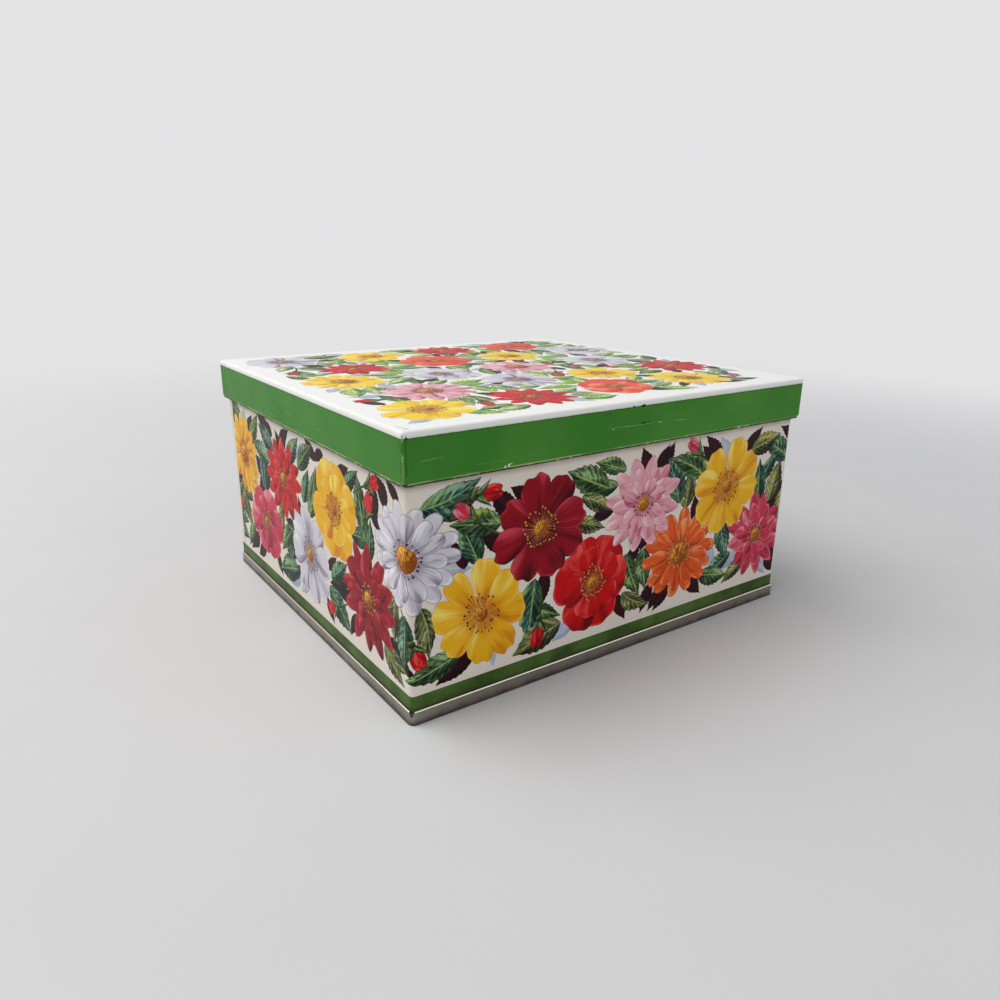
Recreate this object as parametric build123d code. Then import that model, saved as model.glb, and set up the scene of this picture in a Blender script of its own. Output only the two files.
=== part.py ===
from build123d import *
import os

# A square-cornered storage tin with a lift-off lid, folded from printed tinplate.
# The walls are two bent sheets, locked together along two corners that lie across from each other.
# The bottom is a pan whose edge is folded over the edge of the walls, and the lid is one folded blank.
# Millimetres. The origin is on the floor under the middle of the tin, and +Z is up.

# Walls, measured over their outer faces
wall_width = 234.8
wall_depth = 216.8
wall_height = 124.4
wall_corner = 2.0

# Sheet metal
sheet = 0.28
fold_gap = 0.02

# Rolled mouth of the walls
mouth_roll = 1.6

# Bottom seam, where pan and walls are folded into each other
seam_height = 6.6
seam_foot_bend = 0.35
hook_slack = 0.5
notch_width = 2.4
notch_depth = 2.6

# Bottom pan
panel_level = 5.6
panel_bend = 0.8

# Lock seams between the two wall sheets
lock_setback = 6.0
lock_groove = 0.6
lock_slack = 0.4
lock_bend = 0.25
lock_end_gap = 0.3

# Lid
lid_clearance = 0.34
lid_seat_gap = 0.3
lid_corner = 1.6
lid_top_bend = 1.5
skirt_height = 21.3
hem_height = 3.2
hem_gap = 0.1
hem_end_gap = 0.9
corner_relief = 1.3
joint_gap = 0.25
tab_width = 11.0
tab_end_gap = 0.3
crease_places = (5.0, 10.0)
crease_width = 0.5
crease_depth = 0.1

# Places that follow from the sizes above
pitch = sheet + fold_gap
wall_middle = -sheet / 2
fold_bend = 0.93 * pitch
hem_pitch = sheet + hem_gap
lid_stand = mouth_roll + lid_clearance + sheet + hem_pitch
lid_width = wall_width + 2 * lid_stand
lid_depth = wall_depth + 2 * lid_stand
lid_top = wall_height + lid_seat_gap + sheet
hem_bottom = lid_top - skirt_height
lock_bottom = panel_level + lock_end_gap
lock_top = wall_height - mouth_roll - sheet - lock_end_gap


def bent_sheet(points, bends):
    """The cut face of a sheet whose middle line runs through points, rounded at each inner one."""
    return trace(FilletPolyline(*points, radius=bends), sheet).face()


def wall_section():
    """A wall cut across, from the tip of its bottom hook to the end of its mouth roll.

    The first number of a point is how far it lies outside the wall's outer face, the second its height.
    """
    fold_level = sheet / 2 + pitch
    hook_tip = seam_height - sheet - hook_slack
    roll = mouth_roll - sheet / 2 - wall_middle
    roll_top = wall_height - sheet / 2
    roll_bend = 0.48 * roll
    points = (
        (wall_middle + 2 * pitch, hook_tip),
        (wall_middle + 2 * pitch, fold_level),
        (wall_middle, fold_level),
        (wall_middle, roll_top),
        (wall_middle + roll, roll_top),
        (wall_middle + roll, roll_top - roll),
        (wall_middle + pitch, roll_top - roll),
    )
    return bent_sheet(points, (fold_bend, fold_bend, roll_bend, roll_bend, roll_bend))


def seam_section():
    """The pan's rim cut across, from its panel, round the foot and over the hook of the walls."""
    panel_middle = panel_level - sheet / 2
    foot_middle = sheet / 2
    rim_top = seam_height - sheet / 2
    rim_tip = foot_middle + 2 * pitch + hook_slack
    points = (
        (wall_middle - pitch - panel_bend - sheet, panel_middle),
        (wall_middle - pitch, panel_middle),
        (wall_middle - pitch, foot_middle),
        (wall_middle + 3 * pitch, foot_middle),
        (wall_middle + 3 * pitch, rim_top),
        (wall_middle + pitch, rim_top),
        (wall_middle + pitch, rim_tip),
    )
    return bent_sheet(points, (panel_bend, seam_foot_bend, seam_foot_bend, fold_bend, fold_bend))


def lock_sections():
    """The two hooks of a lock seam in the left wall, as plan faces: the long wall's and the return's."""
    face = -wall_width / 2
    outer, hooked, returned, inner = (face + sheet / 2 + layer * pitch for layer in range(4))
    groove = wall_depth / 2 - lock_setback
    step = groove - lock_groove / 2 - sheet / 2
    fold = groove + lock_groove / 2 + sheet / 2
    hook_end = wall_depth / 2 - wall_corner - sheet / 2 - fold_gap
    long_wall = (
        (outer, step - 4 * lock_bend),
        (outer, step),
        (inner, step),
        (inner, hook_end),
        (hooked, hook_end),
        (hooked, fold + lock_slack),
    )
    return_wall = (
        (outer, (fold + hook_end) / 2),
        (outer, fold),
        (returned, fold),
        (returned, hook_end - sheet - lock_slack),
    )
    long_bends = (lock_bend, lock_bend, fold_bend, fold_bend)
    return bent_sheet(long_wall, long_bends), bent_sheet(return_wall, (fold_bend, fold_bend))


def stand_up(plan):
    """A lock seam's plan face raised over the height that the seam takes."""
    return extrude(Pos(0, 0, lock_bottom) * plan, lock_top - lock_bottom)


def wall_half():
    """The front sheet: left wall, bend, front wall, bend, and the return that the right wall locks to."""
    groove = wall_depth / 2 - lock_setback
    start = groove - lock_groove / 2 - sheet / 2 - lock_bend
    end = -(groove + lock_groove / 2 + sheet / 2 + fold_bend)
    path = FilletPolyline(
        (-wall_width / 2, start),
        (-wall_width / 2, -wall_depth / 2),
        (wall_width / 2, -wall_depth / 2),
        (wall_width / 2, end),
        radius=wall_corner,
    )
    across = Plane(origin=(-wall_width / 2, start, 0), x_dir=(-1, 0, 0), z_dir=(0, 1, 0))
    long_hook, return_hook = lock_sections()
    half = sweep(across * wall_section(), path=path)
    half = half + stand_up(long_hook)
    return half + Rot(0, 0, 180) * stand_up(return_hook)


def corner_signs():
    """The four corners of the tin, as the signs of their X and Y."""
    return [(x, y) for x in (-1, 1) for y in (-1, 1)]


def notch_tool(sign_x, sign_y):
    """A wedge outside the walls at one corner, that parts the seam's upper edge there."""
    reach = 4 * lid_stand
    half_top = notch_width / 2
    half_foot = sheet
    low = seam_height - notch_depth
    wedge = make_face(
        Polyline(
            (-half_top, seam_height + sheet),
            (-half_top, seam_height),
            (-half_foot, low),
            (half_foot, low),
            (half_top, seam_height),
            (half_top, seam_height + sheet),
            close=True,
        )
    )
    centre = (
        sign_x * (wall_width / 2 - wall_corner),
        sign_y * (wall_depth / 2 - wall_corner),
        0,
    )
    outwards = Vector(sign_x, sign_y, 0).normalized()
    across = Plane(origin=centre, x_dir=Vector(0, 0, 1).cross(outwards), z_dir=outwards)
    return extrude(across * wedge, reach)


def round_the_walls(section):
    """A cut face carried all the way round the walls: half way, and the same turned half a turn."""
    path = FilletPolyline(
        (-wall_width / 2, 0),
        (-wall_width / 2, -wall_depth / 2),
        (wall_width / 2, -wall_depth / 2),
        (wall_width / 2, 0),
        radius=wall_corner,
    )
    across = Plane(origin=(-wall_width / 2, 0, 0), x_dir=(-1, 0, 0), z_dir=(0, 1, 0))
    half = sweep(across * section, path=path)
    return half + Rot(0, 0, 180) * half


def upright_block(width, depth, corner, low, high):
    """A block with rounded upright edges, between two heights."""
    return extrude(Pos(0, 0, low) * RectangleRounded(width, depth, corner), high - low)


def bottom_pan():
    """The panel, its rim folded round the bottom hook of the walls, and the notched corners of the rim."""
    inset = pitch + sheet / 2 + panel_bend + sheet
    panel = upright_block(
        wall_width - 2 * inset,
        wall_depth - 2 * inset,
        wall_corner - inset,
        panel_level - sheet,
        panel_level,
    )
    pan = round_the_walls(seam_section()) + panel
    inside = upright_block(wall_width, wall_depth, wall_corner, 0, wall_height)
    for sign_x, sign_y in corner_signs():
        pan = pan - (notch_tool(sign_x, sign_y) - inside)
    return pan


def lid_shell():
    """The blank without its hems: panel, rounded upper edge and skirts, relieved at the lower corners."""
    low = hem_bottom + sheet
    outside = upright_block(lid_width, lid_depth, lid_corner, low, lid_top)
    outside = fillet(outside.faces().sort_by(Axis.Z)[-1].edges(), lid_top_bend)
    inside = upright_block(
        lid_width - 2 * sheet, lid_depth - 2 * sheet, lid_corner - sheet, low - sheet, lid_top - sheet
    )
    inside = fillet(inside.faces().sort_by(Axis.Z)[-1].edges(), lid_top_bend - sheet)
    return outside - inside


def corner_relief_tool(sign_x, sign_y):
    """What is cut off the foot of the skirts round one corner, so that the hems can turn in."""
    reach = 2 * (lid_corner + hem_end_gap)
    height = corner_relief + 2 * sheet
    centre = (
        sign_x * lid_width / 2,
        sign_y * lid_depth / 2,
        hem_bottom - 2 * sheet + height / 2,
    )
    return Pos(*centre) * Box(reach, reach, height)


def hem(length):
    """One hem along X, its outer face at y = 0 and its foot at z = 0, folded in towards +Y."""
    points = (
        (sheet / 2, 2 * sheet),
        (sheet / 2, sheet / 2),
        (sheet / 2 + hem_pitch, sheet / 2),
        (sheet / 2 + hem_pitch, hem_height),
    )
    section = bent_sheet(points, (0.47 * hem_pitch, 0.47 * hem_pitch))
    across = Plane(origin=(-length / 2, 0, 0), x_dir=(0, 1, 0), z_dir=(1, 0, 0))
    return extrude(across * section, length)


def hems():
    """The four hems, each ending short of the corners."""
    ends = 2 * (lid_corner + hem_end_gap)
    strips = []
    for turn, length, half in (
        (0, lid_width, lid_depth / 2),
        (90, lid_depth, lid_width / 2),
        (180, lid_width, lid_depth / 2),
        (270, lid_depth, lid_width / 2),
    ):
        strips.append(Rot(0, 0, turn) * Pos(0, -half, hem_bottom) * hem(length - ends))
    return strips


def corner_tab():
    """At the front left corner, the left skirt's tab behind the front skirt, up against its inner face."""
    start = -lid_width / 2 + lid_corner - 2 * sheet
    low = hem_bottom + hem_height + tab_end_gap
    high = lid_top - lid_top_bend - tab_end_gap
    middle = (start + tab_width / 2, -lid_depth / 2 + sheet + fold_gap + sheet / 2, (low + high) / 2)
    return Pos(*middle) * Box(tab_width, sheet, high - low)


def joint_slit():
    """At the front left corner, the open joint between the end of the front skirt and the bend."""
    high = lid_top - lid_top_bend
    low = hem_bottom - sheet
    start = -lid_width / 2 + lid_corner
    depth = sheet + fold_gap / 2
    middle = (start + joint_gap / 2, -lid_depth / 2 + depth / 2, (low + high) / 2)
    return Pos(*middle) * Box(joint_gap, depth, high - low)


def creases():
    """At the back left corner, the two shallow upright grooves in the left skirt."""
    low = hem_bottom - sheet
    high = lid_top - lid_top_bend
    grooves = []
    for place in crease_places:
        middle = (-lid_width / 2, lid_depth / 2 - place, (low + high) / 2)
        grooves.append(Pos(*middle) * Box(2 * crease_depth, crease_width, high - low))
    return grooves


def lid():
    """The lid's folded blank. What one corner has, the corner across from it has too."""
    blank = lid_shell()
    for sign_x, sign_y in corner_signs():
        blank = blank - corner_relief_tool(sign_x, sign_y)
    for strip in hems():
        blank = blank + strip
    for turn in (0, 180):
        across = Rot(0, 0, turn)
        blank = blank - across * joint_slit() + across * corner_tab()
        for groove in creases():
            blank = blank - across * groove
    return blank


front_half = wall_half()
pieces = {
    "body_front_half": front_half,
    "body_back_half": Rot(0, 0, 180) * front_half,
    "bottom_pan": bottom_pan(),
    "lid": lid(),
}
os.makedirs("parts", exist_ok=True)
for name, shape in pieces.items():
    export_step(shape, f"parts/{name}.step")
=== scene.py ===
"""How the printed storage tin looks: lacquered and bare tinplate, and a floral print as thin flat shapes.

Every shape is worked out with numpy as a function of two parameters on a grid. Lengths in the shape
functions are millimetres, and a mesh is written in metres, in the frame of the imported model.
"""

import bmesh
import bpy
import math
import numpy as np
from mathutils import Matrix, Vector

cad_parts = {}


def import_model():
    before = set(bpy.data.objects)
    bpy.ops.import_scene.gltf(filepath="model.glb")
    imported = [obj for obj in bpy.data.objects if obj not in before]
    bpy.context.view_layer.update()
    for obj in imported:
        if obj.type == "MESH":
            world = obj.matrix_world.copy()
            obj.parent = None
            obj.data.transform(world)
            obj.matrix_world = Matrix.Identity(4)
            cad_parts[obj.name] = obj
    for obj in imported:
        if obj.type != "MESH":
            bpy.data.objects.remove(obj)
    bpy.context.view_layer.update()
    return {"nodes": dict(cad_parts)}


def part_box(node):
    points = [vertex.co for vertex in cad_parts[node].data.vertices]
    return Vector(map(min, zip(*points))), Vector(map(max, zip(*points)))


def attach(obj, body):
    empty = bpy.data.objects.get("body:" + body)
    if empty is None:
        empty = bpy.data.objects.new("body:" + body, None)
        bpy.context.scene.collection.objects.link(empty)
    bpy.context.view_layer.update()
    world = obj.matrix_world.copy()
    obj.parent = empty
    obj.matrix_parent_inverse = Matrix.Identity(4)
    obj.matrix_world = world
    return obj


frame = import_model()

MM = 0.001
WALL_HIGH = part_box("body_front_half")[1]
LID_LOW, LID_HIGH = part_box("lid")
PAN_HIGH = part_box("bottom_pan")[1]

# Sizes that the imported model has, in millimetres
SHEET = 0.28
SEAM_STAND = 0.9
WALL_CORNER = 2.0
LID_CORNER = 1.6
LID_TOP_BEND = 1.5
MOUTH_ROLL = 1.6
LOCK_SETBACK = 6.0
LOCK_GROOVE = 0.6
LID_HALF_X = LID_HIGH.x / MM
LID_HALF_Y = LID_HIGH.y / MM
LID_TOP = LID_HIGH.z / MM
SKIRT_FOOT = LID_LOW.z / MM
SEAM_TOP = PAN_HIGH.z / MM
WALL_HALF_X = PAN_HIGH.x / MM - SEAM_STAND
WALL_HALF_Y = PAN_HIGH.y / MM - SEAM_STAND
WALL_TOP = WALL_HIGH.z / MM

# The printed fields: the stripe at the foot, the lid's white edge, and the plain margins
BAND_TOP = 13.2
LID_WHITE_DROP = 2.75
WALL_PRINT_LOW = BAND_TOP + 1.3
WALL_PRINT_TALL = 88.0
LID_MARGIN = 8.5

# The layers of print, where the painted light comes from, and the draws that all random values come from
LAYER = 0.01
FIRST_LAYER = 0.01
PAINTED_LIGHT = np.array([-0.55, 0.83])
DICE = np.random.default_rng(11)


# Materials

# How strongly the aged lacquer shines, as the shader's specular level, and the relief of the sheet: how
# deep it is, in metres, and how much of that shows through the lacquer
LACQUER_SHINE = 0.1
RELIEF_DEPTH = 0.00002
RELIEF_SHOWN = 0.6


class Nodes:
    """The node tree of a new material or world, with one short call for each kind of node in use."""

    def __init__(self, owner):
        self.owner = owner
        owner.use_nodes = True
        self.tree = owner.node_tree
        self.shader = self.tree.nodes.get("Principled BSDF")

    def set_input(self, node, key, value):
        """Links a socket to an input, or writes a plain value on it."""
        if isinstance(value, bpy.types.NodeSocket):
            self.tree.links.new(value, node.inputs[key])
        else:
            node.inputs[key].default_value = value

    def add(self, kind, inputs=None, **settings):
        node = self.tree.nodes.new("ShaderNode" + kind)
        for name, value in settings.items():
            setattr(node, name, value)
        for key, value in (inputs or {}).items():
            self.set_input(node, key, value)
        return node

    def surface(self, **inputs):
        """Sets the shader's own inputs, named with underscores for spaces."""
        for name, value in inputs.items():
            self.set_input(self.shader, name.replace("_", " "), value)

    def math(self, operation, first, second=0.0, clamp=False):
        node = self.add("Math", {0: first, 1: second}, operation=operation, use_clamp=clamp)
        return node.outputs[0]

    def total(self, *values):
        """The sum of several values."""
        found = values[0]
        for value in values[1:]:
            found = self.math("ADD", found, value)
        return found

    def times(self, *values):
        """The product of several values."""
        found = values[0]
        for value in values[1:]:
            found = self.math("MULTIPLY", found, value)
        return found

    def step(self, value, low, high):
        """0 at low, 1 at high, smooth between."""
        inputs = {"Value": value, "From Min": low, "From Max": high}
        return self.add("MapRange", inputs, interpolation_type="SMOOTHSTEP").outputs[0]

    def past(self, value, reach):
        """How far a value is past reach, on either side of zero."""
        return self.math("SUBTRACT", self.math("ABSOLUTE", value), reach)

    def band(self, value, low, high, soft):
        """1 between low and high, with soft edges."""
        rise = self.step(value, low - soft, low + soft)
        fall = self.step(value, high - soft, high + soft)
        return self.math("SUBTRACT", rise, fall, clamp=True)

    def mix(self, share, first, second):
        node = self.add("Mix", data_type="RGBA")
        self.set_input(node, 0, share)
        self.set_input(node, 6, first)
        self.set_input(node, 7, second)
        return node.outputs[2]

    def tinted(self, colour, mask, share, tone):
        """The colour with a share of the tone laid over it where the mask is 1."""
        return self.mix(self.times(mask, share), colour, tone)

    def scaled(self, vector, scale):
        return self.add("VectorMath", {0: vector, 1: scale}, operation="MULTIPLY").outputs[0]

    def noise(self, vector, scale, detail=2.0, roughness=0.5):
        """Noise at one scale, or at three, one along each axis."""
        if isinstance(scale, tuple):
            vector = self.scaled(vector, scale)
            scale = 1.0
        inputs = {"Vector": vector, "Scale": scale, "Detail": detail, "Roughness": roughness}
        return self.add("TexNoise", inputs).outputs["Fac"]

    def centred(self, value, reach):
        """A value that runs from 0 to 1, made to run over a stretch of length reach about zero."""
        return self.times(self.math("SUBTRACT", value, 0.5), reach)

    def swing(self, vector, scale, reach, detail=2.0, roughness=0.5):
        """Noise about zero, over a stretch of length reach."""
        return self.centred(self.noise(vector, scale, detail, roughness), reach)

    def place(self):
        """Where a point of the surface is, in millimetres, as a vector and as its three numbers."""
        position = self.add("TexCoord").outputs["Object"]
        scaled = self.scaled(position, (1 / MM, 1 / MM, 1 / MM))
        parts = self.add("SeparateXYZ", {0: scaled})
        return scaled, parts.outputs[0], parts.outputs[1], parts.outputs[2]

    def bump(self, height, distance, strength=1.0):
        return self.add("Bump", {"Height": height, "Distance": distance, "Strength": strength}).outputs[0]


def rgb(red, green, blue):
    """A shader colour from the 0 to 255 numbers of a screen colour."""
    parts = np.array([red, green, blue]) / 255.0
    linear = np.where(parts > 0.04045, ((parts + 0.055) / 1.055) ** 2.4, parts / 12.92)
    return (*map(float, linear), 1.0)


def outside_distance(nodes, across, up, half_across, half_up, corner):
    """How far a point lies outside a rounded rectangle about zero: negative within it."""
    over_across = nodes.past(across, half_across - corner)
    over_up = nodes.past(up, half_up - corner)
    past_across = nodes.math("MAXIMUM", over_across, 0.0)
    past_up = nodes.math("MAXIMUM", over_up, 0.0)
    squares = nodes.total(nodes.times(past_across, past_across), nodes.times(past_up, past_up))
    inner = nodes.math("MINIMUM", nodes.math("MAXIMUM", over_across, over_up), 0.0)
    return nodes.math("SUBTRACT", nodes.total(nodes.math("SQRT", squares), inner), corner)


def past_corner(nodes, x, y, half_x, half_y):
    """How far a point is past the start of an upright corner, by the nearer of its two sides."""
    return nodes.math("MINIMUM", nodes.past(x, half_x), nodes.past(y, half_y))


def sheet_relief(nodes, position):
    """The form of thin lacquered sheet: slow waves of the metal and the finer skin of the lacquer."""
    return nodes.total(nodes.times(nodes.noise(position, 0.02, 1.0), 16.0), nodes.swing(position, 0.9, 0.05))


def tin_colour(nodes, position):
    """Bare tinplate: a grey that shifts in cloudy patches, with matt brownish spots."""
    clouds = nodes.noise(position, 0.06, 4.0, 0.6)
    spots = nodes.step(nodes.noise(position, 0.45, 5.0, 0.65), 0.58, 0.72)
    grey = nodes.mix(clouds, rgb(182, 178, 170), rgb(226, 223, 216))
    return nodes.tinted(grey, spots, 0.4, rgb(134, 112, 88))


def finish_print(nodes, position, printed, colour, roughness, tin_darkening):
    """Joins printed lacquer and bare tin on the shader.

    printed is 1 where there is print, and the last argument is how dark the bare tin is made: grime in the
    seam of the walls, painted shade in the joints of the lid.
    """
    tin = nodes.mix(tin_darkening, tin_colour(nodes, position), rgb(44, 36, 28))
    nodes.surface(
        Base_Color=nodes.mix(printed, tin, colour),
        Metallic=nodes.math("SUBTRACT", 1.0, printed),
        Roughness=roughness,
        Specular_IOR_Level=LACQUER_SHINE,
        Normal=nodes.bump(sheet_relief(nodes, position), RELIEF_DEPTH, RELIEF_SHOWN),
    )
    return nodes.owner


def wall_material():
    """Print on the outside of the walls, bare tin inside, in the hook, the roll and the lock seams.

    The stripe is cloudy and has fine level scuffs. Dirt lies above the bottom seam. Painted shade darkens
    the corners where the notches at the ends of the lid's skirts leave them open, and a dusty painted shadow
    lies just below where the foot of the lid rests.
    """
    nodes = Nodes(bpy.data.materials.new("printed_walls_lacquer"))
    position, x, y, z = nodes.place()
    outside = outside_distance(nodes, x, y, WALL_HALF_X, WALL_HALF_Y, WALL_CORNER)
    face = nodes.band(outside, -SHEET / 2, SHEET / 2, 0.02)
    below_roll = nodes.math("LESS_THAN", z, WALL_TOP - MOUTH_ROLL)
    age = nodes.noise(position, 0.03, 3.0)
    grime = nodes.step(nodes.total(z, nodes.swing(position, 0.15, 3.0, 4.0)), SEAM_TOP + 2.2, SEAM_TOP - 0.5)
    ground = nodes.mix(age, rgb(238, 231, 220), rgb(230, 220, 206))
    patches = nodes.step(nodes.noise(position, 0.05, 3.0), 0.36, 0.64)
    green = nodes.mix(patches, rgb(54, 82, 30), rgb(80, 110, 48))
    scuffs = nodes.noise(position, (0.06, 0.06, 2.4), 3.0, 0.7)
    green = nodes.tinted(green, nodes.step(scuffs, 0.56, 0.7), 0.35, rgb(112, 136, 92))
    stripe = nodes.math("LESS_THAN", z, nodes.total(BAND_TOP, nodes.swing(position, 0.2, 0.15)))
    colour = nodes.mix(stripe, ground, green)
    colour = nodes.tinted(colour, grime, 0.6, rgb(58, 48, 36))
    # Painted shadow below the foot of the lid, with some dust, on a band that ends just above where the foot
    # rests
    below_lid = nodes.step(z, SKIRT_FOOT - 4.2, SKIRT_FOOT + 0.2)
    rest_line = nodes.times(below_lid, nodes.step(z, SKIRT_FOOT + 1.6, SKIRT_FOOT + 0.4))
    hem_shadow_and_dust = nodes.math("MULTIPLY", rest_line, nodes.total(0.1, nodes.noise(position, 0.1, 4.0, 0.6)), True)
    colour = nodes.tinted(colour, hem_shadow_and_dust, 0.85, rgb(122, 96, 84))
    corner = past_corner(nodes, x, y, WALL_HALF_X - WALL_CORNER, WALL_HALF_Y - WALL_CORNER)
    # Painted shade on the wall's corners where the notches at the ends of the lid's skirts leave it open
    hem_end = nodes.band(z, SKIRT_FOOT - 1.1, SKIRT_FOOT + 1.6, 0.4)
    notch_shade = nodes.times(nodes.step(corner, -2.2, -0.2), hem_end)
    colour = nodes.tinted(colour, notch_shade, 0.85, rgb(46, 36, 28))
    crumbs = nodes.noise(position, (0.4, 0.4, 1.2), 4.0, 0.7)
    worn = nodes.times(nodes.step(corner, 0.7, 1.2), nodes.step(crumbs, 0.66, 0.7))
    printed = nodes.times(face, below_roll, nodes.math("SUBTRACT", 1.0, worn))
    in_seam = nodes.times(nodes.step(outside, 0.1, 0.3), nodes.math("LESS_THAN", z, SEAM_TOP), 0.85)
    roughness = nodes.total(0.3, nodes.times(age, 0.1), nodes.times(grime, 0.2))
    return finish_print(nodes, position, printed, colour, roughness, in_seam)


def lid_material():
    """The lid: white top that drops over its rolled edge, green skirts, bare tin within, painted shade in
    the joints.

    The green is faintly cloudy, with fine level scuffs. Along the very foot of the skirts it has a dark line
    of painted shade with some grime, and it is rubbed pale above it and at the upright corners, in places to
    the metal. The upper edge has a few chips.
    """
    nodes = Nodes(bpy.data.materials.new("printed_lid_lacquer"))
    position, x, y, z = nodes.place()
    side = outside_distance(nodes, x, y, LID_HALF_X, LID_HALF_Y, LID_CORNER)
    above = nodes.math("SUBTRACT", z, LID_TOP)
    below_edge = (nodes.total(side, 100.0), nodes.total(above, 100.0))
    depth = outside_distance(nodes, *below_edge, 100.0, 100.0, LID_TOP_BEND)
    skin = nodes.step(depth, -SHEET / 2 - 0.02, -SHEET / 2 + 0.02)
    age = nodes.noise(position, 0.03, 3.0)
    drop = nodes.math("MULTIPLY", above, -1.0)
    white = nodes.mix(age, rgb(250, 250, 248), rgb(244, 243, 239))
    patches = nodes.step(nodes.noise(position, 0.02, 3.0, 0.6), 0.3, 0.7)
    green = nodes.mix(patches, rgb(59, 127, 41), rgb(76, 141, 51))
    scuffs = nodes.noise(position, (0.05, 0.05, 3.2), 3.0, 0.7)
    green = nodes.tinted(green, nodes.step(scuffs, 0.62, 0.72), 0.3, rgb(122, 168, 104))
    edge = nodes.total(LID_WHITE_DROP, nodes.swing(position, 0.5, 0.3, 3.0))
    pale = nodes.band(nodes.math("SUBTRACT", drop, edge), -0.5, 0.0, 0.1)
    dark = nodes.band(nodes.math("SUBTRACT", drop, edge), 0.0, 0.45, 0.12)
    colour = nodes.mix(nodes.math("GREATER_THAN", drop, edge), white, green)
    colour = nodes.tinted(colour, pale, 0.5, rgb(196, 212, 176))
    colour = nodes.tinted(colour, dark, 0.5, rgb(26, 56, 22))
    crumbs = nodes.noise(position, 0.55, 4.0, 0.7)
    foot = nodes.total(z, -SKIRT_FOOT, nodes.swing(position, 0.3, 0.4, 3.0))
    corner = past_corner(nodes, x, y, LID_HALF_X - LID_CORNER, LID_HALF_Y - LID_CORNER)
    on_skirt = nodes.math("GREATER_THAN", drop, 1.4)
    rubs = nodes.step(nodes.noise(position, (0.5, 0.5, 0.16), 3.0, 0.6), 0.4, 0.56)
    at_corner = nodes.times(nodes.step(corner, 0.62, 0.95), rubs)
    patchy = nodes.total(0.35, nodes.step(nodes.noise(position, 0.05, 2.0), 0.44, 0.58))
    at_foot = nodes.times(nodes.step(foot, 1.5, 1.0), patchy)
    rubbed = nodes.times(nodes.math("MAXIMUM", at_foot, at_corner), on_skirt)
    colour = nodes.mix(nodes.math("MULTIPLY", rubbed, 0.75, True), colour, rgb(166, 188, 122))
    # A dark line along the very foot of the skirts: painted shade of the turned-under hem, with some dirt
    colour = nodes.tinted(colour, nodes.step(foot, 0.9, 0.6), 0.9, rgb(30, 34, 16))
    chips = nodes.times(nodes.band(drop, 1.2, 3.4, 0.5), nodes.step(crumbs, 0.715, 0.73))
    worn = nodes.math("MAXIMUM", nodes.times(rubbed, nodes.step(crumbs, 0.6, 0.64)), chips)
    printed = nodes.times(skin, nodes.math("SUBTRACT", 1.0, worn, True))
    # Painted shade on the bare tin of the corner tabs that shows in the joints of the skirts
    joint_shade = nodes.times(nodes.band(depth, -0.5, -0.18, 0.02), nodes.step(corner, -1.8, -1.4), 0.85)
    roughness = nodes.total(0.28, nodes.times(age, 0.1), nodes.times(scuffs, 0.08))
    return finish_print(nodes, position, printed, colour, roughness, joint_shade)


def pan_material():
    """Bare rolled tinplate, the seam dulled brown and darker as a painted reflection, with a painted
    highlight on top.
    """
    nodes = Nodes(bpy.data.materials.new("bare_tinplate"))
    position, x, y, z = nodes.place()
    lines = nodes.noise(position, (0.06, 0.06, 2.6), 3.0)
    outside = outside_distance(nodes, x, y, WALL_HALF_X, WALL_HALF_Y, WALL_CORNER)
    near_lip = nodes.band(z, SEAM_TOP - 1.0, SEAM_TOP + 1.0, 0.2)
    crevice = nodes.times(nodes.step(outside, 0.35, 0.05), near_lip)
    # Painted highlight: near-white metal along the top edge of the seam
    lip_highlight = nodes.band(z, SEAM_TOP - 0.45, SEAM_TOP + 1.0, 0.1)
    # Dulled brown outside the seam: partly tarnish, partly a painted dark reflection
    dull_and_dark_reflection = nodes.step(outside, 0.0, 0.3)
    # Darker towards the foot of the seam: patina
    tin_darkening = nodes.step(nodes.total(z, nodes.swing(position, 0.12, 4.0, 4.0)), 4.6, -0.2)
    colour = nodes.tinted(tin_colour(nodes, position), dull_and_dark_reflection, 0.62, rgb(98, 87, 74))
    colour = nodes.tinted(colour, nodes.times(dull_and_dark_reflection, tin_darkening), 0.85, rgb(66, 48, 36))
    colour = nodes.mix(lip_highlight, colour, rgb(252, 244, 228))
    relief = nodes.total(sheet_relief(nodes, position), nodes.times(lines, 0.15))
    nodes.surface(
        Base_Color=nodes.tinted(colour, crevice, 0.8, rgb(40, 32, 24)),
        Metallic=1.0,
        Roughness=nodes.total(0.22, nodes.times(lines, 0.16), nodes.times(dull_and_dark_reflection, tin_darkening, 0.2)),
        Normal=nodes.bump(relief, RELIEF_DEPTH, 0.8),
    )
    return nodes.owner


def dress(node, material):
    """Gives a CAD node its material."""
    mesh = frame["nodes"][node].data
    mesh.materials.clear()
    mesh.materials.append(material)


# Inks. The colours of each are for the shade, the middle and the light of the painted form.

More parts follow.
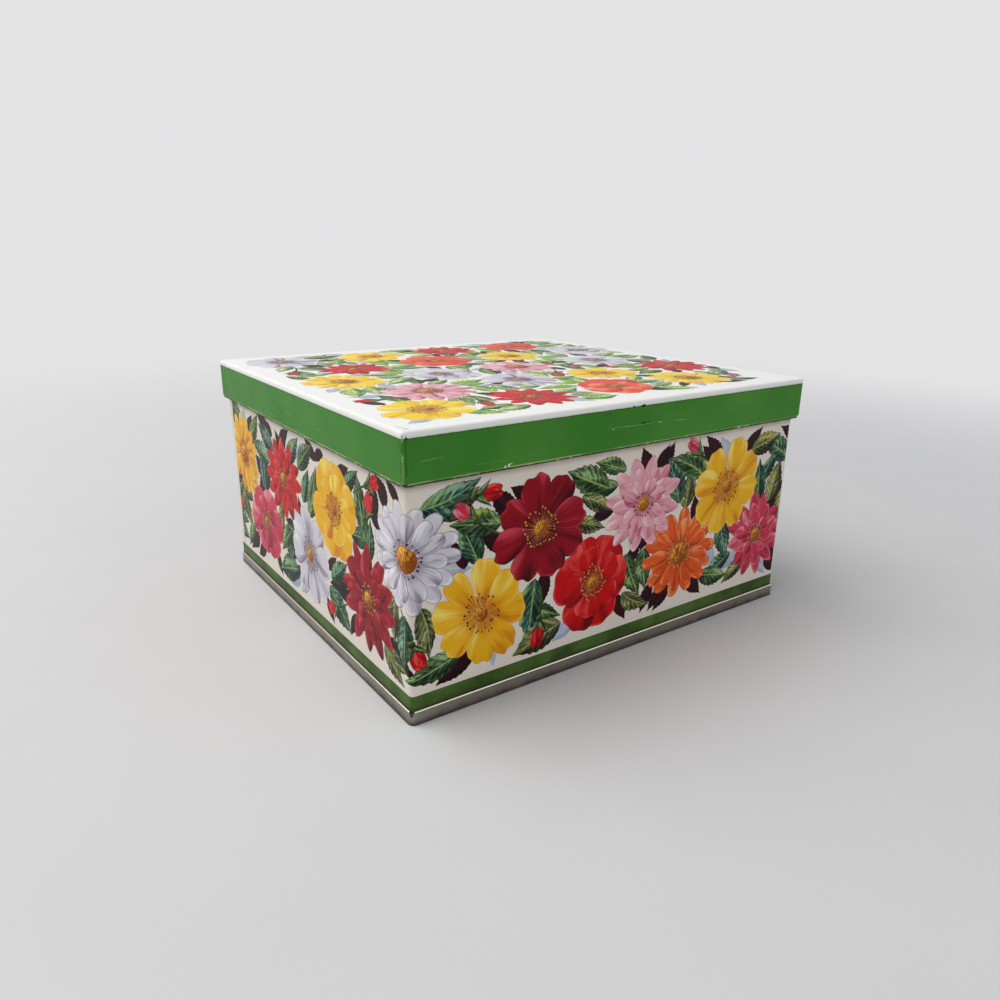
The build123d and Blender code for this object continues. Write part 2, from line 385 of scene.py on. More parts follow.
TONES = {
    "yellow": ((206, 108, 12), (242, 182, 26), (255, 230, 112)),
    "lemon": ((222, 150, 10), (250, 214, 40), (255, 243, 134)),
    "coral": ((182, 34, 20), (238, 78, 52), (255, 164, 128)),
    "orange": ((176, 46, 14), (232, 92, 32), (254, 172, 112)),
    "scarlet": ((112, 0, 10), (206, 6, 16), (246, 92, 86)),
    "crimson": ((70, 2, 16), (150, 8, 28), (214, 70, 86)),
    "rose": ((140, 14, 46), (208, 54, 82), (246, 156, 166)),
    "blush": ((184, 84, 108), (234, 168, 180), (253, 228, 229)),
    "white": ((128, 116, 138), (216, 212, 221), (251, 250, 251)),
    "teal_leaf": ((12, 34, 28), (52, 92, 74), (152, 194, 166)),
    "green_leaf": ((18, 40, 22), (68, 100, 60), (168, 198, 138)),
    "olive_leaf": ((28, 32, 18), (96, 104, 62), (190, 194, 136)),
    "spring_leaf": ((62, 114, 42), (142, 188, 84), (236, 244, 164)),
    "sage_leaf": ((68, 102, 58), (134, 168, 106), (218, 234, 176)),
    "night_leaf": ((28, 2, 10), (44, 6, 16), (62, 12, 26)),
    "slate_leaf": ((158, 170, 198), (180, 190, 214), (204, 210, 228)),
    "amber": ((148, 78, 14), (226, 152, 42), (254, 214, 112)),
    "stalk": ((26, 44, 18), (62, 84, 36), (130, 148, 76)),
    "thread": ((110, 44, 24), (204, 136, 66), (248, 222, 150)),
    "pollen": ((36, 8, 16), (74, 20, 28), (140, 76, 50)),
    "gold": ((146, 78, 14), (236, 178, 62), (255, 228, 140)),
    "scratch": ((96, 152, 78), (122, 172, 100), (152, 194, 128)),
    "bare_line": ((128, 170, 108), (168, 200, 146), (204, 224, 186)),
    "scuff": ((176, 174, 164), (190, 188, 178), (204, 202, 192)),
    "bare_chip": ((206, 196, 160), (244, 238, 208), (252, 249, 234)),
    "dark_chip": ((14, 18, 10), (24, 28, 16), (44, 48, 34)),
}


def ink_material(name, paint):
    """An ink under the lacquer: paint(nodes, tones, lit, rim, seed, across, along, place) colours it.

    lit is how far the painted form faces its light, rim is the distance from the outline, seed is the
    shape's own number from 0 to 1, across runs from -1 to 1 and along from 0 to 1, and place holds the
    last three.
    """
    nodes = Nodes(bpy.data.materials.new(name))
    colours = [nodes.add("Attribute", attribute_name=key) for key in ("shade", "body", "light")]
    tones = [colour.outputs["Color"] for colour in colours]
    numbers = [nodes.add("Attribute", attribute_name=key) for key in ("lit", "rim", "seed")]
    lit, rim, seed = [number.outputs["Fac"] for number in numbers]
    parts = nodes.add("SeparateXYZ", {0: nodes.add("UVMap", uv_map="place").outputs[0]})
    across = nodes.total(nodes.times(parts.outputs[0], 2.0), -1.0)
    along = parts.outputs[1]
    place = nodes.add("CombineXYZ", {0: across, 1: along, 2: nodes.times(seed, 37.0)}).outputs[0]
    position = nodes.place()[0]
    nodes.surface(
        Base_Color=paint(nodes, tones, lit, rim, seed, across, along, place),
        Roughness=0.33,
        Specular_IOR_Level=LACQUER_SHINE,
        Normal=nodes.bump(sheet_relief(nodes, position), RELIEF_DEPTH, RELIEF_SHOWN),
    )
    return nodes.owner


def paint_petal(nodes, tones, lit, rim, seed, across, along, place):
    """Soft folds lit from one side, streaks and fine veins that fan out from the claw, and a pale rim."""
    shade, body, light = tones
    folds = nodes.noise(place, (1.6, 0.9, 1.0), 1.0)
    streaks = nodes.noise(place, (11.0, 1.3, 1.0), 3.0, 0.6)
    sheen = nodes.total(
        nodes.times(lit, 0.9),
        nodes.centred(folds, 3.6),
        nodes.centred(streaks, 1.5),
        nodes.centred(seed, 0.8),
    )
    colour = nodes.mix(nodes.step(sheen, -0.1, -1.4), body, shade)
    colour = nodes.tinted(colour, nodes.step(sheen, 0.15, 1.35), 0.9, light)
    colour = nodes.tinted(colour, nodes.step(along, 0.5, 0.05), 0.75, shade)
    wander = nodes.total(nodes.times(across, 4.2), nodes.times(streaks, 0.5))
    vein = nodes.math("ABSOLUTE", nodes.total(nodes.math("FRACT", wander), -0.5))
    vein = nodes.times(nodes.step(vein, 0.09, 0.0), nodes.step(along, 0.95, 0.3))
    colour = nodes.tinted(colour, vein, 0.3, shade)
    edge = nodes.times(nodes.band(rim, 0.3, 0.9, 0.25), nodes.step(folds, 0.4, 0.6))
    colour = nodes.tinted(colour, edge, 0.6, light)
    return nodes.tinted(colour, nodes.step(rim, 0.32, 0.05), 0.65, shade)


def paint_leaf(nodes, tones, lit, rim, seed, across, along, place):
    """A pale midrib, slanting side veins, brushed light and dark between them, and one half in the light.

    In places the light of the leaf turns yellow-green.
    """
    shade, body, light = tones
    clouds = nodes.noise(place, (1.5, 2.2, 1.0), 2.0)
    side = nodes.math("ABSOLUTE", across)
    wave = nodes.total(nodes.times(along, 7.0), nodes.times(side, -1.7), nodes.times(clouds, 1.1))
    patches = nodes.noise(place, (1.1, 1.7, 2.0), 1.0)
    slant = nodes.add("CombineXYZ", {0: nodes.times(side, 1.5), 1: wave, 2: clouds}).outputs[0]
    strokes = nodes.noise(slant, (1.0, 2.4, 9.0), 4.0, 0.65)
    part = nodes.math("FRACT", wave)
    quilt = nodes.total(nodes.times(part, 1.1), -0.55)
    sheen = nodes.total(
        nodes.times(lit, 0.8),
        quilt,
        nodes.centred(clouds, 5.0),
        nodes.centred(strokes, 4.0),
    )
    glow = nodes.mix(nodes.step(patches, 0.46, 0.6), light, nodes.scaled(light, (1.2, 1.08, 0.42)))
    colour = nodes.mix(nodes.step(sheen, 0.2, -0.9), body, shade)
    colour = nodes.tinted(colour, nodes.step(sheen, 0.2, 1.5), 0.9, glow)
    vein = nodes.math("ABSOLUTE", nodes.total(part, -0.5))
    vein = nodes.times(nodes.step(vein, 0.42, 0.5), nodes.step(side, 1.0, 0.4))
    colour = nodes.tinted(colour, nodes.times(vein, nodes.step(patches, 0.6, 0.44)), 0.4, glow)
    colour = nodes.tinted(colour, nodes.step(side, 0.1, 0.03), 0.6, glow)
    return nodes.tinted(colour, nodes.step(rim, 0.45, 0.05), 0.75, shade)


def paint_heart(nodes, tones, lit, rim, seed, across, along, place):
    """A domed heart of many small florets."""
    shade, body, light = tones
    florets = nodes.add("TexVoronoi", {"Vector": place, "Scale": 5.0}).outputs["Distance"]
    sheen = nodes.total(lit, 0.6, nodes.times(florets, -2.2))
    colour = nodes.mix(nodes.step(sheen, 0.1, -0.9), body, shade)
    colour = nodes.mix(nodes.step(sheen, 0.0, 1.1), colour, light)
    return nodes.tinted(colour, nodes.step(rim, 0.8, 0.0), 0.7, shade)


def paint_line(nodes, tones, lit, rim, seed, across, along, place):
    """Thin strokes and dots, lit from one side and darker towards the far end."""
    shade, body, light = tones
    colour = nodes.mix(nodes.step(along, 0.1, 0.9), body, shade)
    return nodes.tinted(colour, nodes.step(lit, 0.0, 0.9), 0.6, light)


# Flat shapes

# How wide a petal's claw is, as a share of the petal
CLAW = 0.16


class Shape:
    """A flat printed shape of quads.

    points are its corners, place is where each lies on the shape (across and along, 0 to 1), tilt is how
    the painted form leans there, and rim is how far it is from the outline.
    """

    def __init__(self, points, faces, place, tilt, rim):
        self.points = points
        self.faces = faces
        self.place = place
        self.tilt = tilt
        self.rim = rim

    def moved(self, turn=0.0, place=(0.0, 0.0), squash=1.0, squash_turn=0.0):
        """The shape turned about its origin, pressed narrower along one direction, and put in its place."""
        bend = turned(squash_turn) @ np.diag([squash, 1.0]) @ turned(-squash_turn) @ turned(turn)
        points = self.points @ bend.T + np.array(place)
        return Shape(points, self.faces, self.place, self.tilt @ turned(turn).T, self.rim)

    def samples(self, apart):
        """Points spread evenly over the quads, about as far apart as given."""
        corners = self.points[self.faces]
        longest = np.linalg.norm(corners - np.roll(corners, -1, axis=1), axis=2).max()
        steps = (np.arange(math.ceil(longest / apart)) + 0.5) / math.ceil(longest / apart)
        a, b = [part.ravel() for part in np.meshgrid(steps, steps)]
        shares = np.stack([(1 - a) * (1 - b), a * (1 - b), a * b, (1 - a) * b], axis=1)
        return (shares @ corners).reshape(-1, 2)


def turned(angle):
    return np.array([[math.cos(angle), -math.sin(angle)], [math.sin(angle), math.cos(angle)]])


def joined(shapes):
    """Several shapes as one."""
    starts = np.cumsum([0] + [len(shape.points) for shape in shapes[:-1]])
    return Shape(
        np.concatenate([shape.points for shape in shapes]),
        np.concatenate([shape.faces + start for shape, start in zip(shapes, starts)]),
        np.concatenate([shape.place for shape in shapes]),
        np.concatenate([shape.tilt for shape in shapes]),
        np.concatenate([shape.rim for shape in shapes]),
    )


def grid_shape(x, y, across, along, lean_x, lean_y, rim):
    """A shape from grids of numbers, whose rows run along it and whose columns run across it.

    across runs from -1 to 1, and along from 0 to 1.
    """
    rows, columns = x.shape
    first = (np.arange(rows - 1)[:, None] * columns + np.arange(columns - 1)).ravel()
    faces = np.stack([first, first + 1, first + columns + 1, first + columns], axis=1)
    grids = (x, y, across * 0.5 + 0.5, along, lean_x, lean_y, rim)
    flat = [np.broadcast_to(grid, x.shape).ravel() for grid in grids]
    pairs = [np.stack(flat[start : start + 2], axis=1) for start in (0, 2, 4)]
    return Shape(pairs[0], faces, pairs[1], pairs[2], flat[6])


def round_grid(count):
    """A round grid with no pole: x = u * sqrt(1 - v * v / 2) and y = v * sqrt(1 - u * u / 2)."""
    v, u = np.meshgrid(np.linspace(-1, 1, count), np.linspace(-1, 1, count), indexing="ij")
    return u * np.sqrt(1 - v * v / 2), v * np.sqrt(1 - u * u / 2)


def petal(length, width, taper=0.8, point=0.0, notch=0.0, ripple=0.0, bend=0.0, count=11):
    """A petal from its claw at the origin towards +Y.

    A round grid is stretched to length, its width grows from the claw as a power of the way along, and
    may close to a point. The tip is notched by a bell curve and rippled by a cosine across it.
    """
    u, v = round_grid(count)
    way = (v + 1) / 2
    swell = (CLAW + (1 - CLAW) * way**taper) * (1 - point * way**3)
    x = u * width / 2 * swell * 1.16
    tip = ripple * np.cos(u * math.pi * 3.0 + bend * 40) - notch * np.exp(-((u / 0.22) ** 2))
    y = length * (way + tip * way**5)
    fan = np.arctan2(x, y + 0.15 * length) / math.atan2(width / 2, 0.75 * length)
    x = x + bend * length * way**2
    rim = (1 - np.hypot(u, v)) * width / 2
    return grid_shape(x, y, fan, way, u, 0.9 * (way - 0.55), rim)


def leaf(length, width, teeth=8, widest=0.42, near_half=1.0, bend=0.0, columns=7):
    """A leaf from its stalk end at the origin towards +Y.

    Half its width is a sine of a power of the way along, raised to a power that sharpens the tip. Every
    second row steps out and forward as a tooth, one half may be narrower, and the midrib bends as the
    square of the way along.
    """
    rows = 2 * teeth + 1
    way, u = np.meshgrid(np.linspace(0, 1, rows), np.linspace(-1, 1, columns), indexing="ij")
    swell = np.sin(math.pi * way ** (math.log(0.5) / math.log(widest))).clip(0, 1) ** (0.7 + 0.6 * way)
    tooth = (np.arange(rows) % 2)[:, None] * np.abs(u) ** 4
    half = width / 2 * (0.03 + 0.97 * swell) * (1 + 0.13 * tooth)
    half = half * np.where(u < 0, near_half, 1.0)
    x = u * half + bend * length * way**2
    y = length * (way + 0.035 * tooth * swell)
    return grid_shape(x, y, u, way, np.tanh(3 * u), 0 * u, (1 - np.abs(u)) * half)


def dot(radius, count=3):
    """A round dot."""
    u, v = round_grid(count)
    rim = (1 - np.hypot(u, v)) * radius
    return grid_shape(u * radius, v * radius, u, v * 0.5 + 0.5, u, v, rim)


def throat(radius):
    """A disc under the feet of the petals, painted as they are at their feet."""
    u, v = round_grid(7)
    return grid_shape(u * radius, v * radius, u, 0 * u, u, v, 0 * u + radius)


def chip(width, height, count=7):
    """An uneven flake: a round grid whose reach swells and shrinks as three cosines of the turn."""
    u, v = round_grid(count)
    turn = np.arctan2(v, u)
    swell = 0.0
    for waves in (2, 3, 5):
        swing = DICE.uniform(0.05, 0.2)
        swell = swell + swing * np.cos(waves * turn + DICE.uniform(0, 6))
    x = u * (1 + swell) * width / 2
    y = v * (1 + swell) * height / 2
    rim = (1 - np.hypot(u, v)) * height / 2
    return grid_shape(x, y, u, v * 0.5 + 0.5, u, v, rim)


def stroke(length, wide, narrow, bend=0.0, rows=2):
    """A tapered brush stroke from the origin towards +Y, bent as the square of the way along."""
    way, u = np.meshgrid(np.linspace(0, 1, rows), np.array([-1.0, 1.0]), indexing="ij")
    half = (wide + (narrow - wide) * way) / 2
    x = u * half + bend * length * way**2
    return grid_shape(x, length * way, u, way, u, 0 * u, (1 - np.abs(u)) * half + 1)


def around(shape, turn, reach=0.0):
    """A shape set off from the middle of a flower by reach, and turned round it."""
    return shape.moved(turn, turned(turn) @ np.array([0.0, reach]))


# Flowers, buds and leaves as lists of painted parts, from the lowest to the highest: (shape, tone, ink)

# For each kind its rings of petals (how many, length and width as shares of the radius, first turn, form),
# the radius of its heart, and how many threads stand round it and how far out
FLOWER_FORMS = {
    "cosmos": ([(8, 1.0, 0.72, 0.0, {"notch": 0.03, "ripple": 0.03, "count": 13})], 0.15, 30, 0.4),
    "windflower": (
        [
            (6, 1.0, 0.98, 0.0, {"taper": 0.55, "ripple": 0.02, "count": 13}),
            (5, 0.72, 0.74, 0.5, {"taper": 0.55, "ripple": 0.02, "count": 11}),
        ],
        0.13,
        34,
        0.38,
    ),
    "daisy": (
        [
            (14, 1.0, 0.36, 0.0, {"notch": 0.02, "taper": 0.6, "count": 9}),
            (12, 0.82, 0.34, 0.2, {"notch": 0.02, "taper": 0.6, "count": 9}),
        ],
        0.24,
        22,
        0.33,
    ),
    "dahlia": (
        [
            (12, 1.0, 0.46, 0.0, {"point": 0.5, "taper": 0.6, "count": 9}),
            (10, 0.8, 0.44, 0.3, {"point": 0.5, "taper": 0.6, "count": 9}),
            (8, 0.58, 0.4, 0.1, {"point": 0.5, "taper": 0.6, "count": 9}),
        ],
        0.15,
        20,
        0.28,
    ),
}
# The tones of flowers whose pollen is gold
GOLD_POLLEN = ("scarlet", "crimson", "rose", "coral", "orange")


def ring(many, inner, outer, width, start, loose=0.06, **form):
    """A ring of petals between two radii: every second one lies under its neighbours."""
    petals = []
    for number in [*range(0, many, 2), *range(1, many, 2)]:
        turn = start + 2 * math.pi * (number + DICE.normal(0, loose)) / many
        length = (outer - inner) * (1 + DICE.normal(0, 0.03))
        shape = petal(length, width * (1 + DICE.normal(0, 0.04)), bend=DICE.normal(0, 0.05), **form)
        petals.append(around(shape, turn, inner))
    return petals


def stamens(many, inner, outer):
    """Threads that stand round the heart, and the pollen beads at their ends."""
    threads = []
    beads = []
    for number in range(many):
        turn = 2 * math.pi * (number + DICE.uniform(-0.3, 0.3)) / many
        reach = inner + (outer - inner) * (0.45 + 0.55 * DICE.random())
        threads.append(around(stroke(reach - inner * 0.6, 0.34, 0.22), turn, inner * 0.6))
        beads.append(around(dot(0.5 * DICE.uniform(0.75, 1.25)), turn, reach))
    return joined(threads), joined(beads)


def flower(kind, tone, radius):
    rings, heart, many, reach = FLOWER_FORMS[kind]
    start = DICE.uniform(0, 2 * math.pi)
    parts = [(throat(max(0.34, 1.3 * heart) * radius), tone, "petal")]
    for count, length, width, turn, form in rings:
        petals = ring(count, 0.8 * heart * radius, length * radius, width * radius, start + turn, **form)
        parts += [(shape, tone, "petal") for shape in petals]
    threads, beads = stamens(many, heart * radius, reach * radius)
    pollen = "gold" if tone in GOLD_POLLEN else "pollen"
    return parts + [
        (threads, "thread", "line"),
        (beads, pollen, "line"),
        (dot(heart * radius, 7), "amber", "heart"),
    ]


def loose_leaf(tones, low, high):
    """A leaf of a random length, form and tone."""
    length = DICE.uniform(low, high)
    width = length * DICE.uniform(0.42, 0.56)
    shape = leaf(length, width, near_half=DICE.uniform(0.65, 1.0), bend=DICE.normal(0, 0.12))
    return [(shape, tones[DICE.integers(len(tones))], "leaf")]


def bud(tones, low, high):
    """A closed bud on a short stalk: three folded petals held by sepals."""
    length = DICE.uniform(low, high)
    tone = tones[DICE.integers(len(tones))]
    folded = {"taper": 0.3, "point": 0.45, "count": 9}
    parts = [
        (stroke(1.1 * length, 0.8, 1.2, 0.15, 6), "stalk", "line"),
        (petal(length, 0.5 * length, bend=0.12, **folded), tone, "petal"),
        (petal(length, 0.5 * length, bend=-0.12, **folded), tone, "petal"),
        (petal(0.96 * length, 0.36 * length, **folded), tone, "petal"),
        (leaf(0.7 * length, 0.2 * length, 4, 0.35, bend=0.3, columns=5).moved(-0.35), "green_leaf", "leaf"),
        (leaf(0.7 * length, 0.2 * length, 4, 0.35, bend=-0.3, columns=5).moved(0.35), "green_leaf", "leaf"),
        (dot(0.13 * length, 5), "stalk", "line"),
    ]
    top = np.array([0.165 * length, 1.1 * length])
    return parts[:1] + [(shape.moved(-0.25, top), part_tone, ink) for shape, part_tone, ink in parts[1:]]


class Field:
    """A printed field of the sheet, with a map of small cells that says how many layers lie on each.

    Where it joins, the field runs round the tin and its right end meets its left end.
    """

    # About how wide a cell is, how far apart a shape's samples lie when its place is tried, when it is
    # taken and when the shape is laid, and how far apart two shapes of one layer stay
    CELL = 0.5
    TRY_STEP = 2.0
    TAKE_STEP = 0.6
    LAY_STEP = 0.5
    BESIDE = 0.3

    def __init__(self, left, low, width, height, joins):
        self.low_corner = np.array([left, low])
        self.cells = np.round(np.array([width, height]) / self.CELL).astype(int)
        self.cell = np.array([width, height]) / self.cells
        self.joins = joins
        self.taken = np.zeros(self.cells, bool)
        self.layers = np.zeros(self.cells, int)
        self.parts = {}

    def cells_of(self, points):
        cells = np.floor((points - self.low_corner) / self.cell).astype(int)
        if self.joins:
            cells[:, 0] %= self.cells[0]
        return cells

    def inside(self, cells):
        return ((cells >= 0) & (cells < self.cells)).all(axis=1)

    def free_share(self, parts):
        """The share of some parts that lies on bare ground, or 0 if they leave the field."""
        cells = self.cells_of(np.concatenate([shape.samples(self.TRY_STEP) for shape, tone, ink in parts]))
        if not self.inside(cells).all():
            return 0.0
        return 1 - self.taken[cells[:, 0], cells[:, 1]].mean()

    def take(self, parts):
        cells = self.cells_of(np.concatenate([shape.samples(self.TAKE_STEP) for shape, tone, ink in parts]))
        cells = cells[self.inside(cells)]
        self.taken[cells[:, 0], cells[:, 1]] = True

    def lay(self, piece, shape, tone, ink):
        """Puts a shape on top of what lies below it, and gives it to a piece."""
        samples = shape.samples(self.LAY_STEP)
        corners = ((-1, -1), (-1, 1), (1, -1), (1, 1))
        near = [samples + self.BESIDE * np.array(corner) for corner in corners]
        cells = self.cells_of(np.concatenate(near)).clip(0, self.cells - 1)
        level = self.layers[cells[:, 0], cells[:, 1]].max() + 1
        cells = self.cells_of(samples).clip(0, self.cells - 1)
        self.layers[cells[:, 0], cells[:, 1]] = level
        self.parts.setdefault(piece, []).append((shape, level, tone, ink, DICE.random()))


def moved_parts(parts, *move):
    return [(shape.moved(*move), tone, ink) for shape, tone, ink in parts]


# How many places are tried for each leaf or bud
TRIES = 60


def scatter(field, middles, count, make, least_free):
    """Finds places for leaves or buds that start under a flower and point away, over the barest ground."""
    found = []
    for _ in range(count):
        best = None
        best_share = least_free
        for _ in range(TRIES):
            x, y, radius = middles[DICE.integers(len(middles))]
            turn = DICE.uniform(0, 2 * math.pi)
            start = np.array([x, y]) + turned(turn) @ np.array([0.0, radius * DICE.uniform(0.5, 1.05)])
            parts = moved_parts(make(), turn + DICE.normal(0, 0.5), start)
            share = field.free_share(parts)
            if share > best_share:
                best_share = share
                best = parts
        if best is not None:
            field.take(best)
            found.append(best)
    return found


def print_field(field, flowers, green_piece, flower_piece, sets):
    """Lays out a field: flowers claim their places, buds and leaves fill the ground, and all is stacked.

    Each of the sets is how many to place, what makes one, and the least share of it that has to lie on
    bare ground. The first set lies on top of the others, and the flowers lie on top of all.
    """
    painted = []
    for kind, tone, x, y, radius in flowers:
        squash = (DICE.uniform(0.82, 1.0), DICE.uniform(0, math.pi))
        painted.append(moved_parts(flower(kind, tone, radius), 0.0, (x, y), *squash))
        field.take(painted[-1])
    middles = [(x, y, radius) for kind, tone, x, y, radius in flowers]
    greens = [scatter(field, middles, *each) for each in sets]
    for found in reversed(greens):
        for parts in found:
            piece = green_piece(parts[0][0].points.mean(axis=0))
            for part in parts:
                field.lay(piece, *part)
    for number, parts in enumerate(painted):
        for part in parts:
            field.lay(flower_piece(number), *part)


# The way round the walls at their outer face: half of it, then the same again turned by half a turn

LEFT_RUN = 2 * (WALL_HALF_Y - WALL_CORNER)
FRONT_RUN = 2 * (WALL_HALF_X - WALL_CORNER)
BEND_RUN = math.pi / 2 * WALL_CORNER
FRONT = LEFT_RUN + BEND_RUN
HALF_ROUND = FRONT + FRONT_RUN + BEND_RUN
GROOVE_AT = LOCK_SETBACK - WALL_CORNER
BEND_STEPS = 8


def round_the_walls(points):
    """Carries flat points (along, up, off the sheet) round the walls.

    A half round is the left wall from back to front, a quarter circle, the front wall and a quarter
    circle. The other half is the same, turned about the upright axis.
    """
    half_turns = np.floor(points[:, 0] / HALF_ROUND)
    along = points[:, 0] - half_turns * HALF_ROUND
    reach = WALL_CORNER + points[:, 2]
    bend_x = WALL_HALF_X - WALL_CORNER
    bend_y = WALL_HALF_Y - WALL_CORNER
    past_left = along - LEFT_RUN
    past_front = past_left - BEND_RUN - FRONT_RUN
    near_turn = past_left / WALL_CORNER
    far_turn = past_front / WALL_CORNER
    stretch = [past_left < 0, past_left < BEND_RUN, past_front < 0, past_front >= 0]
    x = np.select(
        stretch,
        [
            -bend_x - reach,
            -bend_x - reach * np.cos(near_turn),
            -bend_x + past_left - BEND_RUN,
            bend_x + reach * np.sin(far_turn),
        ],
    )
    y = np.select(
        stretch,
        [
            bend_y - along,
            -bend_y - reach * np.sin(near_turn),
            -bend_y - reach,
            -bend_y - reach * np.cos(far_turn),
        ],
    )
    side = np.where(half_turns % 2 == 0, 1.0, -1.0)
    return np.stack([x * side, y * side, points[:, 1]], axis=1)


def on_the_lid(points):
    """Carries flat points to the lid's top face."""
    return np.stack([points[:, 0], points[:, 1], LID_TOP + points[:, 2]], axis=1)


def on_a_skirt(quarter):
    """Carries flat points (along from the middle, up, off) to a skirt: 0 is the front, 1 the right."""
    half = LID_HALF_Y if quarter % 2 == 0 else LID_HALF_X

    def carry(points):
        flat = np.stack([points[:, 0], -half - points[:, 2]], axis=1) @ turned(quarter * math.pi / 2).T
        return np.column_stack([flat, points[:, 1]])

    return carry


def wall_cuts():
    """Where the flat print is cut so that it bends round the corners, and the bare margins of the sheets.

    A margin runs from the bend behind each lock seam to the seam's near edge.
    """
    rounds = [HALF_ROUND * turn for turn in (-1, 0, 1, 2)]
    bends = [start + bend for start in rounds for bend in (LEFT_RUN, HALF_ROUND - BEND_RUN)]
    lines = [bend + step * BEND_RUN / BEND_STEPS for bend in bends for step in range(BEND_STEPS + 1)]
    margins = [(start - BEND_RUN, start + GROOVE_AT + LOCK_GROOVE / 2) for start in rounds]
    return lines + [end for margin in margins for end in margin], margins


def cut_along(mesh, lines, gaps):
    """Cuts a flat mesh across at each line, and takes out what lies between the two ends of each gap."""
    low = min(corner.co.x for corner in mesh.vertices)
    high = max(corner.co.x for corner in mesh.vertices)
    crossing = [line for line in lines if low < line < high]
    if not crossing:
        return
    form = bmesh.new()
    form.from_mesh(mesh)
    for line in crossing:
        every = form.verts[:] + form.edges[:] + form.faces[:]
        bmesh.ops.bisect_plane(form, geom=every, plane_co=(line, 0, 0), plane_no=(1, 0, 0), dist=1e-5)
    for start, end in gaps:
        lost = [face for face in form.faces if start < face.calc_center_median().x < end]
        bmesh.ops.delete(form, geom=lost, context="FACES")
    form.to_mesh(mesh)
    form.free()


def print_piece(name, parts, shift, carry, cuts, inks, body):
    """Makes one piece of print: its shapes in their layers, cut, and carried to where the sheet lies."""
    shapes, levels, tones, worn, seeds = zip(*parts)
    whole = joined(shapes)
    counts = [len(shape.points) for shape in shapes]
    heights = FIRST_LAYER + LAYER * np.repeat(levels, counts)
    flat = np.column_stack([whole.points + (shift, 0), heights])
    mesh = bpy.data.meshes.new(name)
    mesh.from_pydata(flat.tolist(), [], whole.faces.tolist())
    worn_inks = sorted(set(worn))
    face_counts = [len(shape.faces) for shape in shapes]
    face_inks = np.repeat([worn_inks.index(ink) for ink in worn], face_counts)
    mesh.polygons.foreach_set("material_index", face_inks)
    mesh.polygons.foreach_set("use_smooth", np.ones(len(mesh.polygons), bool))
    corner = np.empty(len(mesh.loops), int)
    mesh.loops.foreach_get("vertex_index", corner)
    places = whole.place[corner].astype(np.float32)
    mesh.uv_layers.new(name="place").uv.foreach_set("vector", places.ravel())
    numbers = {"rim": whole.rim, "lit": whole.tilt @ PAINTED_LIGHT, "seed": np.repeat(seeds, counts)}
    for key, values in numbers.items():
        mesh.attributes.new(key, "FLOAT", "POINT").data.foreach_set("value", values.astype(np.float32))
    for step, key in enumerate(("shade", "body", "light")):
        colours = np.repeat([rgb(*TONES[tone][step]) for tone in tones], counts, axis=0)
        attribute = mesh.attributes.new(key, "FLOAT_COLOR", "POINT")
        attribute.data.foreach_set("color", colours.astype(np.float32).ravel())
    cut_along(mesh, *cuts)
    flat_places = np.empty(len(mesh.vertices) * 3)
    mesh.vertices.foreach_get("co", flat_places)
    mesh.vertices.foreach_set("co", (carry(flat_places.reshape(-1, 3)) * MM).ravel())
    mesh.update()
    piece = bpy.data.objects.new(name, mesh)
    bpy.context.scene.collection.objects.link(piece)
    for ink in worn_inks:
        mesh.materials.append(inks[ink])
    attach(piece, body)


# Flowers of one half of the walls: kind, colour, along the sheet, height above the floor, radius.
# The lower row comes first, because the upper row is printed over it.
WALL_FLOWERS = [
    ("windflower", "rose", 50, 41, 25),
    ("cosmos", "white", 113, 42, 26),
    ("dahlia", "crimson", 178, 43, 26),
    ("cosmos", "yellow", FRONT + 32, 42, 26),
    ("windflower", "scarlet", FRONT + 94, 41, 25),
    ("daisy", "orange", FRONT + 152, 43, 26),
    ("dahlia", "rose", FRONT + 212, 41, 25),
    ("daisy", "yellow", 20, 74, 25),
    ("dahlia", "scarlet", 82, 74, 25),
    ("windflower", "yellow", 146, 75, 25),
    ("daisy", "white", FRONT - 4, 73, 26),
    ("cosmos", "crimson", FRONT + 63, 74, 26),
    ("dahlia", "blush", FRONT + 124, 74, 25),
    ("cosmos", "yellow", FRONT + 184, 73, 26),
]


def print_walls(inks):
    walls = Field(0.0, WALL_PRINT_LOW, HALF_ROUND, WALL_PRINT_TALL, True)
    sets = [
        (9, lambda: bud(("scarlet", "rose"), 12, 15), 0.66),
        (72, lambda: loose_leaf(("teal_leaf", "green_leaf", "olive_leaf"), 20, 31), 0.5),
        (60, lambda: loose_leaf(("night_leaf",), 13, 24), 0.3),
        (14, lambda: loose_leaf(("slate_leaf",), 13, 20), 0.3),
    ]
    print_field(
        walls,
        WALL_FLOWERS,
        lambda middle: "leaves_left_wall" if middle[0] < LEFT_RUN else "leaves_front_wall",
        lambda number: f"flower_{number + 1}_front_half",
        sets,
    )
    cuts = wall_cuts()
    for name, parts in walls.parts.items():
        print_piece(name, parts, 0.0, round_the_walls, cuts, inks, "tin")
        other = name.replace("left", "right").replace("front", "back")
        print_piece(other, parts, HALF_ROUND, round_the_walls, cuts, inks, "tin")


# The flowers of the lid, taken in turn, and how they stand: the columns and the rows apart, how far the rows
# are staggered, how far a flower strays from its place, and its least and greatest radius
LID_KINDS = [
    ("cosmos", "lemon"),
    ("windflower", "white"),
    ("dahlia", "scarlet"),
    ("daisy", "blush"),
    ("windflower", "coral"),
    ("cosmos", "white"),
    ("daisy", "lemon"),
]
LID_COLUMNS_APART = 53
LID_ROWS_APART = 40
LID_STAGGER = 12
LID_STRAY = 3
LID_RADII = (20.8, 22.8)


